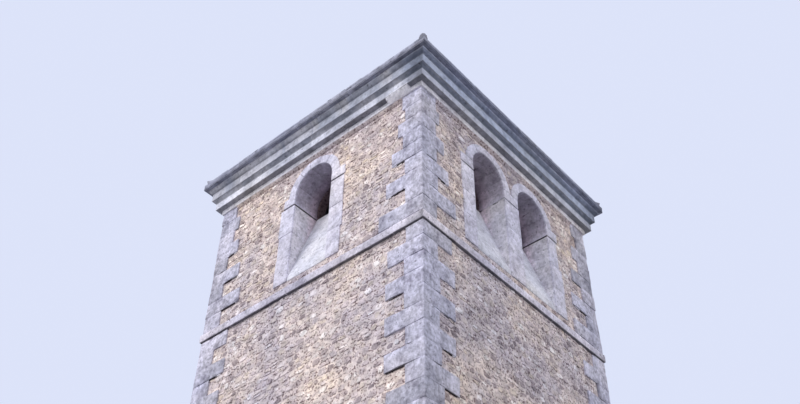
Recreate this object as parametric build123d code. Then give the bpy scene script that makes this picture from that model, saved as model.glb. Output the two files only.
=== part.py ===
from build123d import *
import math
import os

# Bell tower of a parish church, in millimetres. The ground is Z 0, the origin is the centre of
# the plan, the front face looks along -Y, and the photographed corner is at +X, -Y.

# Plan
tower_side = 5400.0
lower_wall_thickness = 1000.0
belfry_wall_thickness = 800.0

# Heights of the storeys, each measured from the one below it; the belfry wall is as tall as its
# openings, their arch rings and the wall over them
plinth_height = 600.0
lower_wall_height = 11310.0
string_height = 200.0
wall_over_arches = 130.0

# Plinth and string course
plinth_projection = 80.0
plinth_chamfer = 60.0
string_projection = 50.0
string_weathering = 45.0

# Corner stones; the long arms of the belfry's get shorter from its foot to its top
quoin_long_arm = 700.0
quoin_short_arm = 340.0
belfry_foot_arm = 880.0
belfry_top_arm = 400.0
quoin_course = 335.0
quoin_projection = 15.0

# Doorway at the foot of the front
door_width = 1100.0
door_spring_height = 1900.0
door_jamb_width = 300.0
door_ring_depth = 260.0
threshold_projection = 60.0
floor_thickness = 120.0

# Belfry openings, with heights above the string course
opening_width = 1000.0
opening_spring_height = 2290.0
surround_depth = 600.0
jamb_width = 300.0
arch_ring_depth = 165.0
twin_pier_width = 434.0
pier_cap_height = 200.0
sill_foot_height = 140.0
sill_nose_height = 90.0
sill_top_height = 2047.0

# Belfry floor
beam_width = 180.0
beam_depth = 220.0
beam_count = 5
beam_end_gap = 10.0
board_thickness = 40.0

# Cornice, each projection measured from the wall face
bed_projection = 60.0
bed_height = 120.0
fillet_projection = 170.0
fillet_height = 173.0
corona_projection = 250.0
cavetto_height = 84.0
corona_height = 190.0
cyma_projection = 330.0
cyma_height = 113.0

# Roof
eave_projection = 408.0
eave_slab_thickness = 150.0
eave_slab_seat = 700.0
roof_pitch = 27.0
roof_thickness = 110.0
hip_cap_width = 240.0
hip_cap_top_width = 110.0
hip_cap_rise = 70.0
apex_cap_side = 620.0
apex_cap_rise = 170.0

# Levels and half widths worked out from the sizes above
half_side = tower_side / 2
lower_room_half = half_side - lower_wall_thickness
belfry_room_half = half_side - belfry_wall_thickness
string_level = plinth_height + lower_wall_height
belfry_level = string_level + string_height
opening_half = opening_width / 2
ring_radius = opening_half + arch_ring_depth
belfry_wall_height = opening_spring_height + ring_radius + wall_over_arches
cornice_level = belfry_level + belfry_wall_height
fillet_level = cornice_level + bed_height
corona_level = fillet_level + fillet_height + cavetto_height
eave_level = corona_level + corona_height + cyma_height
roof_level = eave_level + eave_slab_thickness
eave_half = half_side + eave_projection
roof_rise = eave_half * math.tan(math.radians(roof_pitch))
apex_level = roof_level + roof_rise

# The four sides are made as the front and turned to their places
side_turn = {"front": 0, "right": 90, "back": 180, "left": 270}
corner_turn = {"front_right": 0, "back_right": 90, "back_left": 180, "front_left": 270}


# A box given by its limits along each axis
def block(x_low, x_high, y_low, y_high, z_low, z_high):
    size = Box(x_high - x_low, y_high - y_low, z_high - z_low)
    return Pos((x_low + x_high) / 2, (y_low + y_high) / 2, (z_low + z_high) / 2) * size


# An upright block with a half-round head, through the front wall from y_low to y_high
def arched_block(radius, centre, bottom, spring, y_low, y_high):
    foot = Polyline((centre - radius, spring), (centre - radius, bottom),
                    (centre + radius, bottom), (centre + radius, spring))
    head = ThreePointArc((centre + radius, spring), (centre, spring + radius),
                         (centre - radius, spring))
    wall_plane = Plane(origin=(0, y_low, 0), x_dir=(1, 0, 0), z_dir=(0, -1, 0))
    return extrude(wall_plane * make_face(foot + head), amount=y_high - y_low, dir=(0, 1, 0))


# The quarter of the plan that belongs to the front, bounded by the two diagonals
def front_quarter(reach, z_low, z_high):
    triangle = make_face(Polyline((0, 0), (reach, -reach), (-reach, -reach), close=True))
    return extrude(Pos(0, 0, z_low) * triangle, amount=z_high - z_low)


# One side of a square course, mitred at both ends; the outline is in (distance out, height)
def mitred_side(outline):
    section = Plane(origin=(0, 0, 0), x_dir=(0, -1, 0), z_dir=(-1, 0, 0)) * make_face(outline)
    limits = section.bounding_box()
    reach = -limits.min.Y + 1
    prism = extrude(section, amount=reach, both=True)
    return prism & front_quarter(reach, limits.min.Z, limits.max.Z)


# All four mitred sides of a course joined into one ring
def mitred_ring(outline):
    side = mitred_side(outline)
    ring = side
    for turn in (90, 180, 270):
        ring = ring + Rot(0, 0, turn) * side
    return ring


# The outline of a plain course between two distances from the centre
def plain_outline(inner, outer, z_low, z_high):
    return Polyline((inner, z_low), (outer, z_low), (outer, z_high), (inner, z_high), close=True)


# A corner column of stones whose long arms lie along the two faces in turn
def quoin_column(z_low, z_high, foot_arm, top_arm):
    courses = max(2, round((z_high - z_low) / quoin_course))
    height = (z_high - z_low) / courses
    outer = half_side + quoin_projection
    column = None
    for course in range(courses):
        long_arm = foot_arm + (top_arm - foot_arm) * course / (courses - 1)
        arms = (long_arm, quoin_short_arm)
        if course % 2:
            arms = (quoin_short_arm, long_arm)
        base = z_low + course * height
        stone = block(half_side - arms[0], outer, -outer, arms[1] - half_side, base, base + height)
        column = stone if column is None else column + stone
    return column


# Corner stones, standing on the plinth and again on the string course
lower_quoins = quoin_column(plinth_height, string_level, quoin_long_arm, quoin_long_arm)
belfry_quoins = quoin_column(belfry_level, cornice_level, belfry_foot_arm, belfry_top_arm)


def without_quoins(wall, column):
    for turn in (0, 90, 180, 270):
        wall = wall - Rot(0, 0, turn) * column
    return wall


pieces = {}
for corner, turn in corner_turn.items():
    pieces[corner + "_quoins"] = Rot(0, 0, turn) * Compound([lower_quoins, belfry_quoins])

# Plinth, a full-thickness footing course with a gap for the doorway
door_half = door_width / 2
doorway_outer = door_half + door_jamb_width
plinth_outer = half_side + plinth_projection
plinth_outline = Polyline((lower_room_half, 0), (plinth_outer, 0),
                          (plinth_outer, plinth_height - plinth_chamfer),
                          (plinth_outer - plinth_chamfer, plinth_height),
                          (lower_room_half, plinth_height), close=True)
doorway_gap = block(-doorway_outer, doorway_outer, -plinth_outer, -lower_room_half, 0, plinth_height)
pieces["plinth"] = mitred_ring(plinth_outline) - doorway_gap

# Lower walls: front and back run full width, and the other two stand between them
lower_side_wall = block(-lower_room_half, lower_room_half, -half_side, -lower_room_half,
                        plinth_height, string_level)
lower_back_wall = block(-half_side, half_side, -half_side, -lower_room_half,
                        plinth_height, string_level)
pieces["back_wall"] = without_quoins(Rot(0, 0, side_turn["back"]) * lower_back_wall, lower_quoins)
for name in ("right", "left"):
    wall = Rot(0, 0, side_turn[name]) * lower_side_wall
    pieces[name + "_wall"] = without_quoins(wall, lower_quoins)

wall_beside_door = block(doorway_outer, half_side, -half_side, -lower_room_half,
                         plinth_height, string_level)
pieces["front_wall_right_of_door"] = without_quoins(wall_beside_door, lower_quoins)
wall_beside_door = block(-half_side, -doorway_outer, -half_side, -lower_room_half,
                         plinth_height, string_level)
pieces["front_wall_left_of_door"] = without_quoins(wall_beside_door, lower_quoins)

door_ring_radius = door_half + door_ring_depth
wall_over_door = block(-doorway_outer, doorway_outer, -half_side, -lower_room_half,
                       door_spring_height, string_level)
pieces["front_wall_over_door"] = wall_over_door - arched_block(
    door_ring_radius, 0, door_spring_height - door_ring_radius, door_spring_height,
    -half_side, -lower_room_half)

# Doorway: jambs and arch ring through the whole wall, on the ground, round a stone threshold
doorway_jambs = block(-doorway_outer, doorway_outer, -half_side, -lower_room_half,
                      0, door_spring_height)
doorway_ring = arched_block(door_ring_radius, 0, 0, door_spring_height, -half_side, -lower_room_half)
doorway_clear = arched_block(door_half, 0, 0, door_spring_height, -half_side, -lower_room_half)
pieces["doorway_surround"] = doorway_jambs + doorway_ring - doorway_clear
pieces["doorway_threshold"] = block(-door_half, door_half, -half_side - threshold_projection,
                                    -lower_room_half, 0, floor_thickness)
pieces["ground_floor"] = block(-lower_room_half, lower_room_half, -lower_room_half,
                               lower_room_half, 0, floor_thickness)

# String course, one length on each side, with a weathered top edge
string_outer = half_side + string_projection
string_outline = Polyline((belfry_room_half, string_level), (string_outer, string_level),
                          (string_outer, belfry_level - string_weathering),
                          (string_outer - string_weathering, belfry_level),
                          (belfry_room_half, belfry_level), close=True)
string_side = mitred_side(string_outline)
for name, turn in side_turn.items():
    pieces["string_course_" + name] = Rot(0, 0, turn) * string_side

# Belfry openings: one in the front and back, two side by side in the right and left
twin_offset = (opening_width + twin_pier_width) / 2
opening_centres = {"front": [0], "right": [-twin_offset, twin_offset],
                   "back": [0], "left": [-twin_offset, twin_offset]}
sill_foot = belfry_level + sill_foot_height
sill_top = belfry_level + sill_top_height
spring_level = belfry_level + opening_spring_height
surround_back = surround_depth - half_side


def openings_through(centres, y_high):
    holes = None
    for centre in centres:
        hole = arched_block(opening_half, centre, sill_foot, spring_level, -half_side, y_high)
        holes = hole if holes is None else holes + hole
    return holes


# The dressed frame round one opening or a pair, before the openings are cut in it
def surround_body(centres):
    outer = centres[-1] + opening_half + jamb_width
    body = block(-outer, outer, -half_side, surround_back, sill_foot, spring_level)
    for centre in centres:
        body = body + arched_block(ring_radius, centre, sill_foot, spring_level,
                                   -half_side, surround_back)
    if len(centres) > 1:
        body = body + block(-twin_pier_width / 2, twin_pier_width / 2, -half_side, surround_back,
                            spring_level, spring_level + pier_cap_height)
    return body


# The steep sloping sill that fills the foot of an opening, as deep as the wall
def battered_sill(centre):
    outline = Polyline((half_side, sill_foot), (half_side, sill_foot + sill_nose_height),
                       (half_side - surround_depth, sill_top), (belfry_room_half, sill_top),
                       (belfry_room_half, sill_foot), close=True)
    section = Plane(origin=(centre, 0, 0), x_dir=(0, -1, 0), z_dir=(-1, 0, 0)) * make_face(outline)
    return extrude(section, amount=opening_half, both=True)


# Belfry walls, surrounds and sills
for name, turn in side_turn.items():
    centres = opening_centres[name]
    wall_half = half_side if name in ("front", "back") else belfry_room_half
    wall = block(-wall_half, wall_half, -half_side, -belfry_room_half, belfry_level, cornice_level)
    body = surround_body(centres)
    wall = Rot(0, 0, turn) * (wall - body - openings_through(centres, -belfry_room_half))
    surround = body - openings_through(centres, surround_back)
    sills = Compound([battered_sill(centre) for centre in centres])
    pieces["belfry_wall_" + name] = without_quoins(wall, belfry_quoins)
    pieces["opening_surround_" + name] = Rot(0, 0, turn) * surround
    pieces["opening_sill_" + name] = Rot(0, 0, turn) * sills

# Belfry floor: beams that bear on the top of the thicker lower walls, with boards on them
beam_half_length = belfry_room_half - beam_end_gap
beam_pitch = (2 * belfry_room_half - beam_width) / (beam_count - 1)
beams = []
for index in range(beam_count):
    low = -belfry_room_half + index * beam_pitch
    beams.append(block(low, low + beam_width, -beam_half_length, beam_half_length,
                       string_level, string_level + beam_depth))
pieces["belfry_floor_beams"] = Compound(beams)
board_level = string_level + beam_depth
pieces["belfry_floor_boards"] = block(-belfry_room_half, belfry_room_half, -belfry_room_half,
                                      belfry_room_half, board_level, board_level + board_thickness)

# Cornice in three stone courses, the upper two with a hollow and a swelling moulding
pieces["cornice_bed_course"] = mitred_ring(
    plain_outline(belfry_room_half, half_side + bed_projection, cornice_level, fillet_level))

fillet_face = half_side + fillet_projection
corona_face = half_side + corona_projection
cavetto_foot = fillet_level + fillet_height
cavetto = RadiusArc((fillet_face, cavetto_foot), (corona_face, corona_level),
                    math.hypot(corona_face - fillet_face, cavetto_height))
cavetto_course = Polyline((corona_face, corona_level), (belfry_room_half, corona_level),
                          (belfry_room_half, fillet_level), (fillet_face, fillet_level),
                          (fillet_face, cavetto_foot))
pieces["cornice_cavetto_course"] = mitred_ring(cavetto_course + cavetto)

cyma_face = half_side + cyma_projection
cyma_foot = corona_level + corona_height
cyma = RadiusArc((corona_face, cyma_foot), (cyma_face, eave_level),
                 -math.hypot(cyma_face - corona_face, cyma_height))
corona_course = Polyline((cyma_face, eave_level), (belfry_room_half, eave_level),
                         (belfry_room_half, corona_level), (corona_face, corona_level),
                         (corona_face, cyma_foot))
pieces["cornice_corona_course"] = mitred_ring(corona_course + cyma)

# Roof: a ring of eave slabs, four slopes, and the caps over the hips and the top
pieces["eave_slabs"] = mitred_ring(
    plain_outline(eave_half - eave_slab_seat, eave_half, eave_level, roof_level))

pitch_angle = math.radians(roof_pitch)
slope_foot = eave_half - roof_thickness / math.sin(pitch_angle)
slope_underside = apex_level - roof_thickness / math.cos(pitch_angle)
slope_outline = Polyline((eave_half, roof_level), (0, apex_level), (0, slope_underside),
                         (slope_foot, roof_level), close=True)
roof_slope = mitred_side(slope_outline)
for name, turn in side_turn.items():
    pieces["roof_slope_" + name] = Rot(0, 0, turn) * roof_slope

roof_solid = mitred_ring(Polyline((eave_half, roof_level), (0, apex_level), (0, roof_level),
                                  close=True))
apex_half = apex_cap_side / 2
apex_cap_foot = apex_level - apex_half * math.tan(pitch_angle)
apex_cap = mitred_ring(Polyline((0, apex_cap_foot), (apex_half, apex_cap_foot),
                                (apex_half, apex_level), (0, apex_level + apex_cap_rise),
                                close=True))
pieces["apex_cap_stone"] = apex_cap - roof_solid

hip_angle = math.degrees(math.atan2(roof_rise, eave_half * math.sqrt(2)))
hip_length = math.hypot(roof_rise, eave_half * math.sqrt(2))
cap_half = hip_cap_width / 2
cap_top_half = hip_cap_top_width / 2
hip_outline = make_face(Polyline((-cap_half, -hip_cap_rise), (-cap_half, 0),
                                 (-cap_top_half, hip_cap_rise), (cap_top_half, hip_cap_rise),
                                 (cap_half, 0), (cap_half, -hip_cap_rise), close=True))
hip_plane = Plane(origin=(eave_half, -eave_half, roof_level), x_dir=(1, 1, 0),
                  z_dir=(-eave_half, eave_half, roof_rise))
hip_bar = extrude(hip_plane * hip_outline, amount=hip_length, both=True)
eave_limit = block(0, eave_half, -eave_half, 0, roof_level, apex_level + apex_cap_rise)
apex_limit = block(-apex_half, apex_half, -apex_half, apex_half, roof_level,
                   apex_level + apex_cap_rise)
hip_cap = (hip_bar & eave_limit) - roof_solid - apex_limit
pieces["hip_caps"] = Compound([Rot(0, 0, turn) * hip_cap for turn in (0, 90, 180, 270)])

# One file for each piece
os.makedirs("parts", exist_ok=True)
for name, shape in pieces.items():
    export_step(shape, "parts/" + name + ".step")
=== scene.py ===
import math
import random

import bmesh
import bpy
import numpy as np
from mathutils import Matrix, Vector, noise


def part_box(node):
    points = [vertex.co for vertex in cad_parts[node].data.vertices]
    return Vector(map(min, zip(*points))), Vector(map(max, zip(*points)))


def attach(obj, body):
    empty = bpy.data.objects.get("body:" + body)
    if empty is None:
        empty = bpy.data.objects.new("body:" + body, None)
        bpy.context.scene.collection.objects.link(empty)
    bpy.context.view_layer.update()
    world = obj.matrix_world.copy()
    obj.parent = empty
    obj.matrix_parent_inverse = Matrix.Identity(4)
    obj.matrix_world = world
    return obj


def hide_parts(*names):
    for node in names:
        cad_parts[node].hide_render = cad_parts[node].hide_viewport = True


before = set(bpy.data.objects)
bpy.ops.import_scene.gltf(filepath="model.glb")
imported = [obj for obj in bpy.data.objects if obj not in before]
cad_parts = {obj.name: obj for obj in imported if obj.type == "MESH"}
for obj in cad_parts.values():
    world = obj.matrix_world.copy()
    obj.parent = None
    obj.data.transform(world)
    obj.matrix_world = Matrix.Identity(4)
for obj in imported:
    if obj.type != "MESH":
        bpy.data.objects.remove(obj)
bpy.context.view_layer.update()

# Without a seed this noise would start from the clock and differ from run to run.
noise.seed_set(1)

# Walls: rubble masonry in pale lime mortar. The imported walls are the mortar that the stones sit
# in, so they keep their shape and take the mortar's finish, with painted shade in small pits where it has
# fallen out and painted shade inside the openings.
scene = bpy.context.scene
side_names = ("front", "right", "back", "left")
half_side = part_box("back_wall")[1][1]
plinth_top, string_bottom = (corner[2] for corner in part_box("back_wall"))
belfry_bottom, cornice_bottom = (corner[2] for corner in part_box("belfry_wall_front"))


def new_finish(name, roughness, specular=0.2):
    """A new material, with its node tree, its surface shader and its object coordinates."""
    finish = bpy.data.materials.new(name)
    finish.use_nodes = True
    tree = finish.node_tree
    surface = tree.nodes["Principled BSDF"]
    surface.inputs["Roughness"].default_value = roughness
    surface.inputs["Specular IOR Level"].default_value = specular
    return finish, tree, surface, tree.nodes.new("ShaderNodeTexCoord").outputs["Object"]


def cloud(tree, where, scale, detail=4.0, roughness=0.6, stretch=(1, 1, 1), offset=(0, 0, 0)):
    """Soft noise at so many features a metre."""
    mapping = tree.nodes.new("ShaderNodeMapping")
    mapping.inputs["Scale"].default_value = stretch
    mapping.inputs["Location"].default_value = offset
    tree.links.new(where, mapping.inputs["Vector"])
    pattern = tree.nodes.new("ShaderNodeTexNoise")
    pattern.inputs["Scale"].default_value = scale
    pattern.inputs["Detail"].default_value = detail
    pattern.inputs["Roughness"].default_value = roughness
    tree.links.new(mapping.outputs["Vector"], pattern.inputs["Vector"])
    return pattern.outputs["Fac"]


def ramp(tree, factor, *stops):
    """A colour ramp with stops of (place, colour), where a single number is a grey."""
    node = tree.nodes.new("ShaderNodeValToRGB")
    elements = node.color_ramp.elements
    while len(elements) < len(stops):
        elements.new(1.0)
    for element, (place, colour) in zip(elements, stops):
        element.position = place
        element.color = (*colour, 1.0) if isinstance(colour, tuple) else (colour, colour, colour, 1.0)
    tree.links.new(factor, node.inputs["Fac"])
    return node.outputs["Color"]


def mixed(tree, base, over):
    """A mix of two colours, returned as its node."""
    node = tree.nodes.new("ShaderNodeMix")
    node.data_type = "RGBA"
    tree.links.new(base, node.inputs[6])
    tree.links.new(over, node.inputs[7])
    return node


def multiplied(tree, amount, base, over):
    """A colour darkened or tinted by another."""
    node = mixed(tree, base, over)
    node.blend_type = "MULTIPLY"
    node.inputs["Factor"].default_value = amount
    return node.outputs[2]


def tinted(tree, colour, pattern, *stops, amount=1.0):
    """A colour darkened or tinted by a ramp over a pattern."""
    return multiplied(tree, amount, colour, ramp(tree, pattern, *stops))


def sums(tree, operation, *values):
    """Numbers and patterns put together by one kind of sum."""
    total = values[0]
    for value in values[1:]:
        node = tree.nodes.new("ShaderNodeMath")
        node.operation = operation
        for term, socket in zip((total, value), node.inputs):
            if isinstance(term, (int, float)):
                socket.default_value = term
            else:
                tree.links.new(term, socket)
        total = node.outputs[0]
    return total


def spread(tree, value, low, high, least=0.0, most=1.0):
    """A pattern stretched from one range to another and held inside it."""
    node = tree.nodes.new("ShaderNodeMapRange")
    tree.links.new(value, node.inputs["Value"])
    for name, number in (("From Min", low), ("From Max", high), ("To Min", least), ("To Max", most)):
        node.inputs[name].default_value = number
    return node.outputs["Result"]


def axes(tree, where):
    """The three coordinates of a place."""
    node = tree.nodes.new("ShaderNodeSeparateXYZ")
    tree.links.new(where, node.inputs[0])
    return node.outputs


def paint(surface, colour):
    """Links a colour to a surface."""
    surface.id_data.links.new(colour, surface.inputs["Base Color"])


def relief(tree, surface, *layers):
    """Bump from layers of (pattern, height in metres, strength)."""
    normal = None
    for pattern, height, strength in layers:
        bump = tree.nodes.new("ShaderNodeBump")
        bump.inputs["Distance"].default_value = height
        bump.inputs["Strength"].default_value = strength
        tree.links.new(pattern, bump.inputs["Height"])
        if normal:
            tree.links.new(normal, bump.inputs["Normal"])
        normal = bump.outputs["Normal"]
    tree.links.new(normal, surface.inputs["Normal"])


def warm_and_cool(tree, where, colour, amount, front_setting=0.0):
    """Wide soft patches of warmer or cooler stone, warmest on the dry top of the front and back."""
    _, y, z = axes(tree, where)
    top = spread(tree, z, belfry_bottom, cornice_bottom - 1.2, 0.0, front_setting)
    facing = spread(tree, sums(tree, "ABSOLUTE", y, 0.0), half_side - 0.4, half_side - 0.2)
    patches = sums(tree, "ADD", cloud(tree, where, 0.7, 3.0), sums(tree, "MULTIPLY", top, facing))
    colour = tinted(tree, colour, patches, (0.42, (0.93, 0.93, 1.03)), (0.70, (1.32, 1.24, 1.14)),
                    amount=amount)
    drifts = cloud(tree, where, 4.5, 3.0, offset=(5, 2, 8))
    return tinted(tree, colour, drifts, (0.38, 0.82), (0.50, 1.0), (0.62, 1.12), amount=amount)


def painted_opening_shade(tree, where, colour):
    """Paints shade into the masonry by degrees inside the openings, browner and darker deeper in; in the
    reveals it is also lighter just below the gaping joint and darker above it, towards the heads.
    """
    x, y, z = axes(tree, where)
    out = sums(tree, "MAXIMUM", sums(tree, "ABSOLUTE", x, 0.0), sums(tree, "ABSOLUTE", y, 0.0))
    # Painted shade: browner and darker the deeper inside the openings.
    depth = spread(tree, out, half_side - 0.65, half_side - 0.30)
    shaded = tinted(tree, colour, depth, (0.0, (0.26, 0.22, 0.25)), (0.5, (1.0, 0.90, 0.94)), (1.0, 1.0))
    # In the reveals, lighter just below the gaping joint and darker above it.
    height = spread(tree, z, belfry_bottom + 2.0, belfry_bottom + 2.4)
    stepped_by_height = tinted(tree, shaded, height, (0.10, (1.17, 1.18, 1.08)), (0.14, 0.99),
                    (0.50, (0.76, 0.73, 0.75)))
    reveal = mixed(tree, shaded, stepped_by_height)
    tree.links.new(spread(tree, out, half_side + 0.01, half_side - 0.02), reveal.inputs["Factor"])
    return reveal.outputs[2]


def mortar_colour(tree, where):
    """Pale lime mortar with a pink cast, with painted shade in small pits where it has fallen out."""
    colour = ramp(tree, cloud(tree, where, 9.0, 6.0), (0.30, (0.50, 0.43, 0.44)),
                  (0.52, (0.64, 0.56, 0.56)), (0.75, (0.74, 0.67, 0.65)))
    pit_shade = cloud(tree, where, 26.0, 2.0, 0.5, offset=(7, 3, 1))
    return tinted(tree, colour, pit_shade, (0.55, 1.0), (0.61, (0.32, 0.26, 0.27)))


def dress(finish, part):
    """Gives their finish to the CAD nodes with this in their name, which keep their shape."""
    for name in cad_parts:
        if part in name:
            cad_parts[name].material_slots[0].material = finish


warmth, dry_warmth = 0.9, 0.12
mortar, tree, surface, where = new_finish("lime_mortar", 0.95)
colour = warm_and_cool(tree, where, mortar_colour(tree, where), warmth, dry_warmth)
# The mortar takes painted shade inside the openings.
paint(surface, painted_opening_shade(tree, where, colour))
relief(tree, surface, (cloud(tree, where, 14.0, 6.0), 0.02, 0.6), (cloud(tree, where, 90.0), 0.003, 0.5))
dress(mortar, "wall")

# Rubble: small uneven limestones laid to rough level courses between the corner stones and the
# door and belfry frames. Each is a chipped lump set into the mortar, with its face a little proud.
rubble_course = (0.080, 0.155)
rubble_width = (0.10, 0.22)
rubble_joint = 0.010
rubble_body = 0.055
rubble_proud = (0.001, 0.014)
rubble_wander = 0.045
quoin_names = ("front_right", "back_right", "back_left", "front_left")
quoin_course = 0.335
quoin_short_arm = 0.34
quoin_spare = (0.0, 0.08)
door_half, door_jamb, door_ring = 0.55, 0.30, 0.26
door_spring = 1.90
opening_half, opening_jamb, opening_ring = 0.50, 0.30, 0.165
opening_foot = belfry_bottom + 0.14
opening_spring = belfry_bottom + 2.29
twin_offset = 0.717
opening_centres = ((0.0,), (-twin_offset, twin_offset))


def lump_shapes(count):
    """Chipped six- and seven-sided lumps of unit size, as arrays of corners, triangles and rims."""
    shapes = []
    dice = random.Random(11)
    for number in range(count):
        sides = 6 + number % 2
        bm = bmesh.new()
        bmesh.ops.create_cone(bm, cap_ends=True, segments=sides, radius1=0.5, radius2=0.5, depth=1.0)
        turns = [dice.uniform(0.2, 0.8) for _ in range(sides)]
        for vert in bm.verts:
            corner = round(math.atan2(vert.co.x, vert.co.y) / math.tau * sides) % sides
            angle = math.tau * (corner + turns[corner]) / sides
            reach = 0.51 * (math.sin(angle) ** 4 + math.cos(angle) ** 4) ** -0.25
            vert.co.x = reach * math.sin(angle)
            vert.co.y = reach * math.cos(angle)
        front = max(bm.faces, key=lambda face: face.calc_center_median().z)
        bmesh.ops.inset_region(bm, faces=[front], thickness=0.13, depth=0.18)
        for vert in bm.verts:
            if vert.co.z > 0:
                vert.co.z += dice.uniform(-0.08, 0.08)
        rims = np.array([float(vert.co.z < 0.59) for vert in bm.verts])
        bmesh.ops.triangulate(bm, faces=bm.faces[:])
        bmesh.ops.recalc_face_normals(bm, faces=bm.faces[:])
        corners = np.array([vert.co[:] for vert in bm.verts])
        triangles = np.array([[vert.index for vert in face.verts] for face in bm.faces])
        shapes.append((corners, triangles, rims))
        bm.free()
    return shapes


def quoin_columns(bottom, top, foot_arm, top_arm):
    """For each corner, the reach of every corner stone along its own side and the next."""
    columns = []
    for corner in quoin_names:
        dice = random.Random(f"{corner} {bottom:.2f}")
        courses = round((top - bottom) / quoin_course)
        columns.append([])
        for course in range(courses):
            long_arm = foot_arm + (top_arm - foot_arm) * course / (courses - 1)
            arms = [arm + dice.uniform(*quoin_spare) for arm in (long_arm, quoin_short_arm)]
            columns[-1].append(arms[::-1] if course % 2 else arms)
    return bottom, top, columns


def frame_half_width(level, spring, inner, jamb, ring):
    """Half the width that a round-headed frame takes from the wall at a level."""
    if level < spring:
        return inner + jamb
    rise, outer = level - spring, inner + ring
    return math.sqrt(max(0.0, outer * outer - rise * rise))


def free_spans(quarter, level, belfry):
    """The stretches of a side that are rubble at this level."""
    bottom, top, columns = quoin_storeys[belfry]
    course = int((level - bottom) / (top - bottom) * len(columns[quarter]))
    if belfry:
        width = frame_half_width(level, opening_spring, opening_half, opening_jamb, opening_ring)
        centres = opening_centres[quarter % 2] if level > opening_foot else ()
    else:
        width = frame_half_width(level, door_spring, door_half, door_jamb, door_ring)
        centres = (0.0,) if quarter == 0 else ()
    spans = []
    start = columns[quarter - 1][course][1] - half_side
    for centre in centres if width > 0 else ():
        spans.append((start, centre - width))
        start = centre + width
    spans.append((start, half_side - columns[quarter][course][0]))
    return [(low, high) for low, high in spans if high - low > 0.05]


def lay_rubble(quarter, belfry, dice):
    """Places of the stones of one wall: (x, z, width, height)."""
    stones = []
    level, top, _ = quoin_storeys[belfry]
    while level < top - 0.03:
        height = min(dice.uniform(*rubble_course), top - level)
        for low, high in free_spans(quarter, level + height / 2, belfry):
            x = low
            while x < high - 0.02:
                width = dice.uniform(*rubble_width) * (0.75 + 2.2 * height)
                if high - x - width < rubble_width[0] * 0.6:
                    width = high - x
                middle = x + width / 2
                if height > 0.13 and dice.random() < 0.3:
                    split = height * dice.uniform(0.4, 0.6)
                    stones.append((middle, level + split / 2, width, split))
                    stones.append((middle, level + (height + split) / 2, width, height - split))
                elif dice.random() > 0.02:
                    stones.append((middle, level + height / 2, width, height))
                x += width
        level += height
    return stones


def joined_lumps(stones, shapes, dice, seed):
    """Arrays of the corners, triangles, tones and rims of all the stones of a wall."""
    lumps = []
    count = 0
    for x, z, width, height in stones:
        shape, faces, rim = dice.choice(shapes)
        drift = noise.noise_vector(Vector((x * 0.9, z * 0.9, seed))) * rubble_wander
        tilt = dice.gauss(0, 0.06)
        lean_x, lean_z = dice.gauss(0, 0.05), dice.gauss(0, 0.06)
        mirror = dice.choice((-1, 1))
        along = shape[:, 0] * mirror * (width - rubble_joint)
        up = shape[:, 1] * (height - rubble_joint)
        proud = dice.uniform(*rubble_proud) + (shape[:, 2] - 0.68) * rubble_body
        proud = proud + along * lean_x + up * lean_z
        cosine, sine = math.cos(tilt), math.sin(tilt)
        placed = np.stack((x + drift.x + along * cosine - up * sine, -half_side - proud,
                           z + drift.y + along * sine + up * cosine), axis=1)
        lumps.append((placed, faces[:, ::mirror] + count, np.full(len(shape), dice.random()), rim))
        count += len(shape)
    return [np.concatenate(arrays) for arrays in zip(*lumps)]


def finish_piece(mesh, name, material, slot, *replaced):
    """The piece's object, standing at the origin and riding with the tower."""
    mesh.materials.append(material)
    piece = bpy.data.objects.new(name, mesh)
    scene.collection.objects.link(piece)
    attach(piece, "root")
    if replaced:
        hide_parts(*replaced)


def attribute(tree, name):
    """A number that the corners of a piece carry."""
    node = tree.nodes.new("ShaderNodeAttribute")
    node.attribute_name = name
    return node.outputs["Fac"]


rubble, tree, surface, where = new_finish("rubble_limestone", 0.9)
colour = ramp(tree, attribute(tree, "tone"), (0.00, (0.30, 0.25, 0.26)), (0.10, (0.46, 0.39, 0.40)),
              (0.30, (0.62, 0.54, 0.55)), (0.50, (0.71, 0.63, 0.60)), (0.62, (0.67, 0.58, 0.51)),
              (0.74, (0.60, 0.53, 0.55)), (0.88, (0.78, 0.71, 0.70)), (1.00, (0.86, 0.82, 0.81)))
mottle = cloud(tree, where, 11.0, 5.0)
colour = tinted(tree, colour, mottle, (0.34, 0.66), (0.52, 1.0), (0.70, 1.18), amount=0.9)
# Painted shade: dark specks for small holes among the stones.
speck_shade = cloud(tree, where, 26.0, 2.0, 0.5, offset=(2, 5, 9))
colour = tinted(tree, colour, speck_shade, (0.60, 1.0), (0.65, (0.28, 0.22, 0.23)))
smear = sums(tree, "ADD", attribute(tree, "rim"), cloud(tree, where, 16.0, 3.0))
pointing = mixed(tree, colour, mortar_colour(tree, where))
tree.links.new(spread(tree, smear, 0.92, 1.20), pointing.inputs["Factor"])
colour = warm_and_cool(tree, where, pointing.outputs[2], warmth, dry_warmth)
paint(surface, colour)
relief(tree, surface, (cloud(tree, where, 30.0, 8.0, 0.7), 0.012, 0.7))

quoin_storeys = (quoin_columns(plinth_top, string_bottom, 0.70, 0.70),
                 quoin_columns(belfry_bottom, cornice_bottom, 0.88, 0.40))
shapes = lump_shapes(14)
for quarter, side in enumerate(side_names):
    for belfry, storey in enumerate(("lower", "belfry")):
        dice = random.Random(f"{side} {storey}")
        stones = lay_rubble(quarter, belfry, dice)
        corners, triangles, tones, rims = joined_lumps(stones, shapes, dice, quarter * 5.0 + belfry)
        turned = corners @ np.array(Matrix.Rotation(quarter * math.pi / 2, 3, "Z")).T
        mesh = bpy.data.meshes.new(f"{storey}_rubble_{side}")
        mesh.from_pydata(turned.tolist(), [], triangles.tolist())
        for name, values in (("tone", tones), ("rim", rims)):
            mesh.attributes.new(name, "FLOAT", "POINT").data.foreach_set("value", values.astype(np.float32))
        finish_piece(mesh, mesh.name, rubble, "rubble_stone")
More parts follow.
